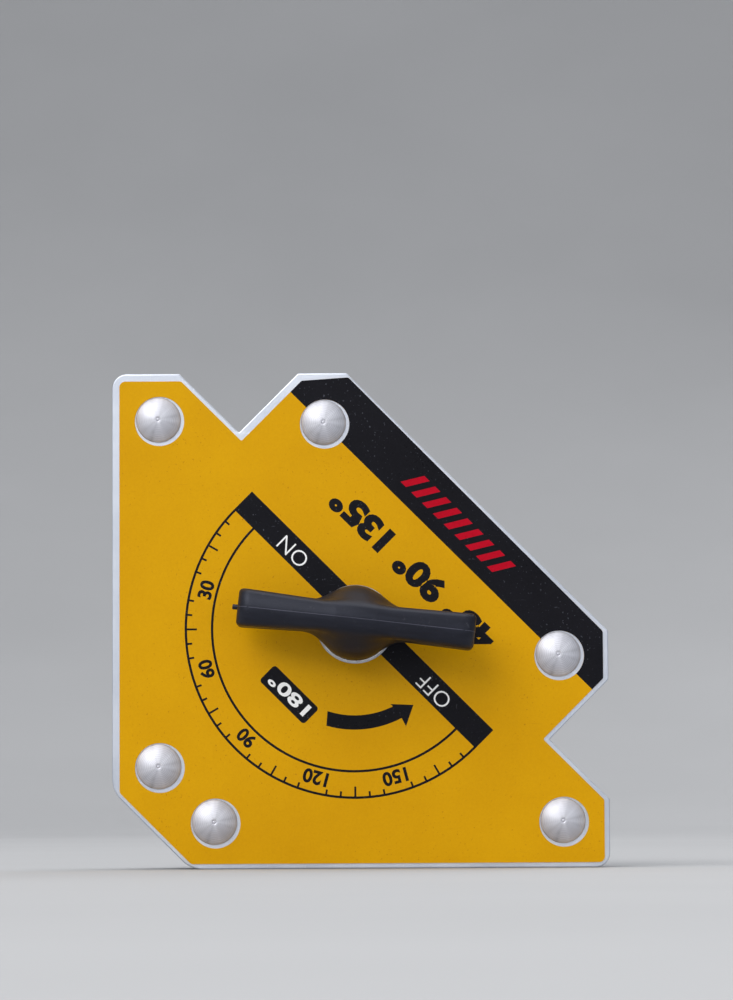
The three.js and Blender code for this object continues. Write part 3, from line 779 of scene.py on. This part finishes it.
def label():
    """One closed film whose front is divided along the edges of the print."""
    film = Patch(YELLOW, film_edges())
    patches = [Patch(ink, edges) for ink, edges in printed_regions()]
    points, lines = [], []
    for patch in [film, *patches]:
        for ax, ay, bx, by in patch.edges:
            lines.append((len(points), len(points) + 1))
            points += [Vector((ax, ay)), Vector((bx, by))]
    flat, _, triangles, *_ = delaunay_2d_cdt(points, lines, [], 0, 1e-5)
    kept, inks = [], []
    for triangle in triangles:
        x = sum(flat[i].x for i in triangle) / 3
        y = sum(flat[i].y for i in triangle) / 3
        if film.holds(x, y):
            covering = [patch.ink for patch in patches if patch.holds(x, y)]
            kept.append(tuple(triangle))
            inks.append(covering[-1] if covering else YELLOW)
    near, far = depth_of(label_low.y), depth_of(label_high.y)
    vertices = [place(p.x, near, p.y) for p in flat] + [place(p.x, far, p.y) for p in flat]
    back = [tuple(i + len(flat) for i in reversed(t)) for t in kept]
    sides = {(t[i], t[(i + 1) % 3]) for t in kept for i in range(3)}
    walls = [(b, a, a + len(flat), b + len(flat)) for a, b in sorted(sides) if (b, a) not in sides]
    mesh = bpy.data.meshes.new("label")
    mesh.from_pydata(vertices, [], kept + back + walls)
    for polygon, ink in zip(mesh.polygons, inks):
        polygon.material_index = ink
    bm = bmesh.new()
    bm.from_mesh(mesh)
    loose = [v for v in bm.verts if not v.link_faces]
    bmesh.ops.delete(bm, geom=loose, context="VERTS")
    bmesh.ops.recalc_face_normals(bm, faces=bm.faces)
    bm.to_mesh(mesh)
    bm.free()
    obj = new_object("printed_label", mesh)
    finish_piece(obj, BLOCK, [YELLOW_FILM, BLACK_INK, WHITE_INK, RED_INK], ["dial_label"])


label()

# -------------------- rivets


def dome(radius, height, first=0.0, steps=14):
    """A dome's profile as (radius, height above its rim), from near its crown to its rim."""
    bow = (radius**2 + height**2) / (2 * height)
    spread = math.asin(radius / bow)
    start = math.asin(first / bow)
    turns = [start + (spread - start) * i / steps for i in range(steps + 1)]
    return [(bow * math.sin(t), bow * math.cos(t) - bow + height) for t in turns]


def rivet_profile(crown, tail):
    """From the head's crown, with its punch mark, round the shank to the formed tail's crown."""
    rim, foot = 0.3, 0.05
    head_height = -crown - foot - rim
    head = [(0, crown + 0.06), (0.14, crown + 0.07), (0.26, crown + 0.15), (0.4, crown + 0.05)]
    head += [(r, -h - foot - rim) for r, h in dome(3.8, head_height, 0.5)]
    head += [(3.85, -foot - rim / 2), (3.8, -foot), (2.45, -foot), (2.4, 0.3)]
    back = depth_of(BACK)
    tail_height = tail - back - foot - rim
    formed = [(r, h + back + foot + rim) for r, h in dome(3.55, tail_height, 0.7)]
    ending = [(2.4, back - 0.3), (2.45, back + foot), (3.5, back + foot), (3.6, back + foot + rim / 2)]
    crown_back = [(0.5, tail - 0.03), (0.25, tail - 0.07), (0, tail - 0.07)]
    return head + ending + list(reversed(formed)) + crown_back


def rivets():
    for name, (x, z) in RIVETS.items():
        low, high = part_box(name)
        profile = rivet_profile(depth_of(low.y), depth_of(high.y))
        obj = new_object(name + "_head", lathe(name, profile, 96), 40)
        obj.location = place(x, 0, z)
        finish_piece(obj, BLOCK, [RIVET_METAL], [name])


rivets()

# -------------------- knob, with its pointer along its own X

KNOB_HEIGHT = -depth_of(knob_low.y)
KNOB_END_HEIGHT = 13.4
KNOB_UNDERSIDE = 4.2
KNOB_FLAT_HALF = 3.4
POINTER_END, TAIL_END = 20, -20.3
ARM_OFFSET = -0.35
ARM_HALF_WIDTHS = ((TAIL_END, 3.05), (-6, 2.7), (5.5, 2.6), (POINTER_END, 3.25))
ARM_CROWN = 1.2
HUB_R = 6.3
HUB_BOTTOM = -depth_of(knob_high.y)
HUB_SHOULDER, HUB_TOP = 6.5, 13.1
KNOB_FILLET = 3.2
KNOB_BORE_R, KNOB_BORE_TOP = 3.15, 10.3
SET_SCREW_HOLE_R, SET_SCREW_HEIGHT = 1.6, 3.6
ARM_TOP_ROUND, ARM_UNDER_ROUND, ARM_SIDE_ROUND, HUB_FOOT_ROUND = 2.0, 1.2, 0.8, 0.3
VOXEL = 0.22
PARTING_MIDDLE = 8.5  # the height that the parting line's stations are found from
PARTING_RIB = ((0.05, -0.035), (0.05, 0.035), (-0.1, 0.1), (-0.1, -0.1))  # (out of the skin, sideways)


def arm_half_width(u):
    return np.interp(u, *zip(*ARM_HALF_WIDTHS))


def arm_top(u):
    ends = (TAIL_END, -KNOB_FLAT_HALF, KNOB_FLAT_HALF, POINTER_END)
    return np.interp(u, ends, (KNOB_END_HEIGHT, KNOB_HEIGHT, KNOB_HEIGHT, KNOB_END_HEIGHT))


def within_both(a, b, radius):
    """Distance to what two distances have in common, with the edge between them rounded."""
    outside = np.hypot(np.maximum(a + radius, 0), np.maximum(b + radius, 0))
    return outside + np.minimum(np.maximum(a, b) + radius, 0) - radius


def knob_distance(points):
    """Distance to the moulding's skin, from points along the arm, above the plate and across."""
    u, h, z = points[:, 0], -points[:, 1], points[:, 2]
    v, half = z - ARM_OFFSET, arm_half_width(u)
    ends = np.maximum(u - POINTER_END, TAIL_END - u)
    above = within_both(ends, h + ARM_CROWN * (v / half) ** 2 - arm_top(u), ARM_TOP_ROUND)
    below = within_both(ends, KNOB_UNDERSIDE - h, ARM_UNDER_ROUND)
    arm = within_both(np.maximum(above, below), np.abs(v) - half, ARM_SIDE_ROUND)
    r, rise = np.hypot(u, z), np.maximum(h - HUB_SHOULDER, 0)
    tall = HUB_TOP - HUB_SHOULDER
    near, slope = np.hypot(r / HUB_R, rise / tall), np.hypot(r / HUB_R**2, rise / tall**2)
    dome = near * (near - 1) / np.maximum(slope, 1e-6)
    hub = within_both(dome, HUB_BOTTOM - h, HUB_FOOT_ROUND)
    blend = np.maximum(KNOB_FILLET - np.abs(arm - hub), 0) / KNOB_FILLET
    return np.minimum(arm, hub) - blend**2 * KNOB_FILLET / 4


def onto_skin(points, rounds):
    """Moves points along the distance's slope until they lie on the skin."""
    step = 0.01
    for _ in range(rounds):
        here = knob_distance(points)
        offsets = np.eye(3) * step
        rises = [knob_distance(points + o) - knob_distance(points - o) for o in offsets]
        slope = np.stack(rises, 1) / (2 * step)
        points = points - slope * (here / np.maximum((slope**2).sum(1), 0.2))[:, None]
    return points


def rough_knob():
    """The arm and the hub as plain overlapping solids, close to the finished skin."""
    vertices, faces = [], []
    for u in (TAIL_END, -KNOB_FLAT_HALF, KNOB_FLAT_HALF, POINTER_END):
        half, top = arm_half_width(u), arm_top(u)
        for h, v in ((KNOB_UNDERSIDE, -half), (KNOB_UNDERSIDE, half), (top, half), (top, -half)):
            vertices.append(Vector((u, -h, v + ARM_OFFSET)) * MM)
    for a in (0, 4, 8):
        faces += [(a + i, a + (i + 1) % 4, a + 4 + (i + 1) % 4, a + 4 + i) for i in range(4)]
    faces += [(0, 1, 2, 3), (12, 13, 14, 15)]
    whole = bmesh.new()
    whole.from_mesh(mesh_from("arm", vertices, faces))
    crown = [(HUB_R * math.cos(t), -HUB_SHOULDER - (HUB_TOP - HUB_SHOULDER) * math.sin(t))
             for t in [math.pi / 2 * i / 8 for i in range(8)]]
    hub = [(0, -HUB_BOTTOM), (HUB_R, -HUB_BOTTOM), *crown, (0, -HUB_TOP)]
    whole.from_mesh(lathe("hub", hub))
    mesh = bpy.data.meshes.new("knob")
    whole.to_mesh(mesh)
    whole.free()
    return mesh


def moulded_knob():
    """One skin over arm and hub, with fillets where they meet."""
    obj = new_object("knob_moulding", rough_knob())
    remesh = obj.modifiers.new("skin", "REMESH")
    remesh.mode = "VOXEL"
    remesh.voxel_size = VOXEL * MM
    apply_modifiers(obj)
    mesh = obj.data
    points = np.empty(len(mesh.vertices) * 3)
    mesh.vertices.foreach_get("co", points)
    points = points.reshape(-1, 3) / MM
    ends = np.empty(len(mesh.edges) * 2, dtype=int)
    mesh.edges.foreach_get("vertices", ends)
    a, b = ends.reshape(-1, 2).T
    neighbours = np.bincount(np.concatenate((a, b)), minlength=len(points))
    for _ in range(6):
        total = np.zeros_like(points)
        for axis in range(3):
            for here, there in ((a, b), (b, a)):
                total[:, axis] += np.bincount(here, points[there, axis], len(points))
        points = onto_skin(0.5 * points + 0.5 * total / neighbours[:, None], 3)
    mesh.vertices.foreach_set("co", (points * MM).ravel())
    mesh.update()
    return obj


def rod_cutter(profile, matrix, count=48):
    cutter = new_object("cutter", lathe("cutter", profile, count))
    cutter.matrix_world = matrix
    return cutter


def parting_line(knob_mesh_object):
    """A hair-thin rib where the mould's halves met, along the arm's top and ends."""
    stations = []
    for degrees in range(-20, 201):
        angle = math.radians(degrees)
        direction = Vector((math.cos(angle), -math.sin(angle), 0))
        middle = Vector((0, -PARTING_MIDDLE, ARM_OFFSET)) * MM
        hit, point, *_ = knob_mesh_object.ray_cast(middle + direction * 40 * MM, -direction)
        if hit:
            stations.append((point, direction))
    vertices, faces = [], []
    for point, direction in stations:
        for out, side in PARTING_RIB:
            vertices.append(point + direction * out * MM + Vector((0, 0, side)) * MM)
    for i in range(len(stations) - 1):
        for k in range(4):
            a, b = 4 * i + k, 4 * i + (k + 1) % 4
            faces.append((a, b, b + 4, a + 4))
    last = 4 * (len(stations) - 1)
    faces += [(0, 1, 2, 3), (last, last + 1, last + 2, last + 3)]
    return mesh_from("parting_line", vertices, faces)


def knob():
    nub_height = (KNOB_UNDERSIDE + KNOB_END_HEIGHT) / 2
    obj = moulded_knob()
    seam = parting_line(obj)
    bore = [(0, -KNOB_BORE_TOP), (KNOB_BORE_R, -KNOB_BORE_TOP), (KNOB_BORE_R, 1), (0, 1)]
    cut_with(obj, rod_cutter(bore, Matrix.Identity(4)))
    screw_hole = [(0, 1), (SET_SCREW_HOLE_R, 1), (SET_SCREW_HOLE_R, 8), (0, 8)]
    cut_with(obj, rod_cutter(screw_hole, set_screw_matrix()))
    for polygon in obj.data.polygons:
        polygon.use_smooth = True
    obj.data.set_sharp_from_angle(angle=math.radians(50))
    nub_profile = [(0, -1), (0.45, -1), (0.45, 0.8), *arc(0.3, 0.8, 0.15, 0, 90, 3), (0, 0.95)]
    nub = new_object("knob_pointer", lathe("nub", nub_profile, 32))
    nub_place = Matrix.Translation(Vector((POINTER_END, -nub_height, ARM_OFFSET)) * MM)
    nub.matrix_world = nub_place @ Matrix.Rotation(-math.pi / 2, 4, "Z")
    rib = new_object("knob_parting_line", seam, 60)
    # The rib's lighter grey is a painted highlight
    pieces = ((nub, KNOB_PLASTIC, ()), (rib, RIB_HIGHLIGHT_PLASTIC, ()), (obj, KNOB_PLASTIC, ["knob"]))
    for piece, look, replaced in pieces:
        piece.matrix_world = on_axis(REST_ANGLE) @ piece.matrix_world
        finish_piece(piece, ROTOR, [look], replaced)


def set_screw_matrix():
    """The set screw's axis, which leaves the hub across the arm, in the knob's own frame."""
    turn = Matrix.Rotation(-math.radians(270), 4, "Y") @ Matrix.Rotation(-math.pi / 2, 4, "Z")
    return Matrix.Translation(Vector((0, -SET_SCREW_HEIGHT, 0)) * MM) @ turn


knob()

# -------------------- small turned pieces


def boxed_ring(inner, outer, near, far, round_by):
    """A ring's closed profile with four rounded edges."""
    r = round_by
    return [
        *arc(outer - r, near + r, r, -90, 0),
        *arc(outer - r, far - r, r, 0, 90),
        *arc(inner + r, far - r, r, 90, 180),
        *arc(inner + r, near + r, r, 180, 270),
    ]


def thrust_washer():
    low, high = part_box("thrust_washer")
    profile = boxed_ring(3.25, (high.x - low.x) / 2 / MM, depth_of(low.y), depth_of(high.y), 0.12)
    obj = new_object("thrust_washer_ring", lathe("washer", profile, 128), 50)
    obj.matrix_world = on_axis()
    finish_piece(obj, ROTOR, [BRIGHT_STEEL], ["thrust_washer"])


def rear_bush():
    low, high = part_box("rear_bush")
    near, far = depth_of(low.y), depth_of(high.y)
    step = near + 0.6
    profile = [(3.12, near), (6.8, near), (6.8, step), (5.0, step), (5.0, far - 0.2), (4.8, far), (3.4, far)]
    obj = new_object("rear_bush_turned", lathe("rear_bush", [*profile, (3.12, far - 0.28)], 128))
    obj.matrix_world = on_axis()
    finish_piece(obj, BLOCK, [BRASS], ["rear_bush"])


SPINDLE_R, CLIP_GROOVE_R = 3.0, 2.2
DRIVE_PIN_DEPTH, DRIVE_PIN_HOLE_R = 7.9, 0.87


def spindle():
    low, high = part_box("spindle")
    near, far = depth_of(low.y), depth_of(high.y)
    clip_low, clip_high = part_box("retaining_clip")
    groove = (depth_of(clip_low.y) - 0.1, depth_of(clip_high.y) + 0.1)
    profile = [
        (0, near), (SPINDLE_R - 0.4, near), (SPINDLE_R, near + 0.4), (SPINDLE_R, groove[0]),
        (CLIP_GROOVE_R, groove[0]), (CLIP_GROOVE_R, groove[1]), (SPINDLE_R, groove[1]),
        (SPINDLE_R, far - 0.15), (SPINDLE_R - 0.15, far), (0.8, far), (0.3, far - 0.5), (0, far - 0.6),
    ]
    obj = new_object("spindle_turned", lathe("spindle", profile, 96))
    flat = new_object("flat", bpy.data.meshes.new("flat"))
    bm = bmesh.new()
    bmesh.ops.create_cube(bm, size=1.0)
    bm.to_mesh(flat.data)
    bm.free()
    flat.matrix_world = Matrix.LocRotScale(Vector((0, -6, -4.2)) * MM, None, Vector((12, 10.9, 4)) * MM)
    cut_with(obj, flat)
    pin = Matrix.Translation(Vector((0, DRIVE_PIN_DEPTH, 0)) * MM) @ Matrix.Rotation(math.pi / 2, 4, "X")
    hole = [(0, -6), (DRIVE_PIN_HOLE_R, -6), (DRIVE_PIN_HOLE_R, 6), (0, 6)]
    cut_with(obj, rod_cutter(hole, pin, 24))
    obj.matrix_world = on_axis(REST_ANGLE)
    finish_piece(obj, ROTOR, [BRIGHT_STEEL], ["spindle"])


def detent_screw():
    near, far = DETENT_SCREW
    r = DETENT_SCREW_R
    profile = [(0, near), (r - 0.4, near), (r, near + 0.4), (r, far - 0.3), (r - 0.3, far), (0, far)]
    obj = new_object("detent_grub_screw", lathe("grub", profile, 64))
    floor = far - HEX_SOCKET_DEPTH
    socket = [(0, floor), (HEX_SOCKET_R, floor), (HEX_SOCKET_R, far + 1), (0, far + 1)]
    cut_with(obj, rod_cutter(socket, Matrix.Identity(4), 6))
    obj.matrix_world = across(DETENT_ANGLE, DETENT_DEPTH)
    finish_piece(obj, BLOCK, [BLACK_STEEL], ["detent_screw"])


thrust_washer()
rear_bush()
spindle()
detent_screw()

# -------------------- CAD pieces that stay

CARRIED = {
    SOFT_IRON: ("front_pole_shoe", "rear_pole_shoe"),
    NICKEL: ("fixed_magnet", "rotor_magnet"),
    DULL_PLASTIC: ("separator_washer",),
    BRASS: ("front_isolating_disc", "rear_isolating_disc", "front_bush", "rotor_carrier"),
    BRIGHT_STEEL: ("stop_pin", "detent_ball", "detent_spring", "drive_pin"),
    BLACK_STEEL: ("retaining_clip", "knob_set_screw"),
}


def soften_edges(obj, width):
    bevel = obj.modifiers.new("edges", "BEVEL")
    bevel.width = width * MM
    bevel.segments = 2
    bevel.limit_method = "ANGLE"
    bevel.angle_limit = math.radians(40)


for material, names in CARRIED.items():
    for name in names:
        for material_slot in frame["nodes"][name].material_slots:
            material_slot.material = material
soften_edges(frame["nodes"]["retaining_clip"], 0.06)
soften_edges(frame["nodes"]["knob_set_screw"], 0.08)

# -------------------- stage, lights and camera

STAGE_R = 3.2  # metres
STAGE_FLAT_R = 1.3
STAGE_WALL = 2.4


def stage():
    """A round floor that sweeps up into a wall on every side, so that any view has it behind."""
    profile = [(0, 0), (STAGE_FLAT_R, 0)]
    profile += [
        (STAGE_FLAT_R + (STAGE_R - STAGE_FLAT_R) * math.sin(t), STAGE_WALL * (1 - math.cos(t)))
        for t in [math.pi / 2 * i / 24 for i in range(1, 25)]
    ]
    count = 128
    vertices, faces = [Vector((0, 0, 0))], []
    for radius, height in profile[1:]:
        for i in range(count):
            angle = 2 * math.pi * i / count
            vertices.append(Vector((radius * math.cos(angle), radius * math.sin(angle), height)))
    faces += [(0, 1 + i, 1 + (i + 1) % count) for i in range(count)]
    for ring in range(len(profile) - 2):
        start = 1 + ring * count
        for i in range(count):
            j = (i + 1) % count
            faces.append((start + i, start + count + i, start + count + j, start + j))
    mesh = bpy.data.meshes.new("studio_floor")
    mesh.from_pydata(vertices, [], faces)
    obj = new_object("studio_floor", mesh, 80)
    obj.location.z = FLOOR - 0.00002
    obj.data.materials.append(studio_floor())


def area_light(name, position, target, size, power, colour=(1, 1, 1)):
    light = bpy.data.lights.new(name, "AREA")
    light.shape = "RECTANGLE"
    light.size, light.size_y = size
    light.energy = power
    light.color = colour
    obj = bpy.data.objects.new(name, light)
    bpy.context.scene.collection.objects.link(obj)
    obj.location = position
    obj.rotation_mode = "QUATERNION"
    obj.rotation_quaternion = (Vector(target) - Vector(position)).to_track_quat("-Z", "Y")


def lights():
    middle = (AXIS.x, 0, AXIS.z)
    area_light("key", (-1.1, -1.5, 1.5), middle, (1.8, 1.8), 40, (1.0, 0.99, 0.97))
    area_light("front", (-0.2, -2.4, 0.8), middle, (1.6, 1.0), 9, (0.97, 0.98, 1.0))
    area_light("fill", (1.3, -1.3, 0.7), middle, (1.0, 1.2), 4, (0.93, 0.96, 1.0))
    area_light("top", (0.0, 0.15, 2.1), middle, (1.6, 1.6), 18)
    area_light("behind", (0.7, 1.5, 1.2), middle, (1.0, 1.0), 9)
    world = bpy.data.worlds.new("studio")
    world.use_nodes = True
    world.node_tree.nodes["Background"].inputs["Color"].default_value = (0.93, 0.95, 1.0, 1)
    world.node_tree.nodes["Background"].inputs["Strength"].default_value = 0.45
    bpy.context.scene.world = world


# The camera stands just above the floor and looks up at the plate's face.
FRAME_HEIGHT = 171.8  # of what the camera sees at the plate's face
CAMERA_DISTANCE = 700
CAMERA_AIM = (43.44, 63.05)
CAMERA_HEIGHT = 9
CAMERA_ROLL = 0.3  # degrees
SENSOR = 36


def camera():
    data = bpy.data.cameras.new("camera")
    data.sensor_width = SENSOR
    data.lens = SENSOR * CAMERA_DISTANCE / FRAME_HEIGHT
    data.clip_start, data.clip_end = 0.05, 20
    obj = bpy.data.objects.new("camera", data)
    bpy.context.scene.collection.objects.link(obj)
    rise = math.asin((CAMERA_AIM[1] - CAMERA_HEIGHT) / CAMERA_DISTANCE)
    obj.location = place(CAMERA_AIM[0], -CAMERA_DISTANCE * math.cos(rise), CAMERA_HEIGHT)
    obj.rotation_euler = (math.pi / 2 + rise, math.radians(CAMERA_ROLL), 0)
    bpy.context.scene.camera = obj


stage()
lights()
camera()
bpy.context.scene.view_settings.view_transform = "Standard"
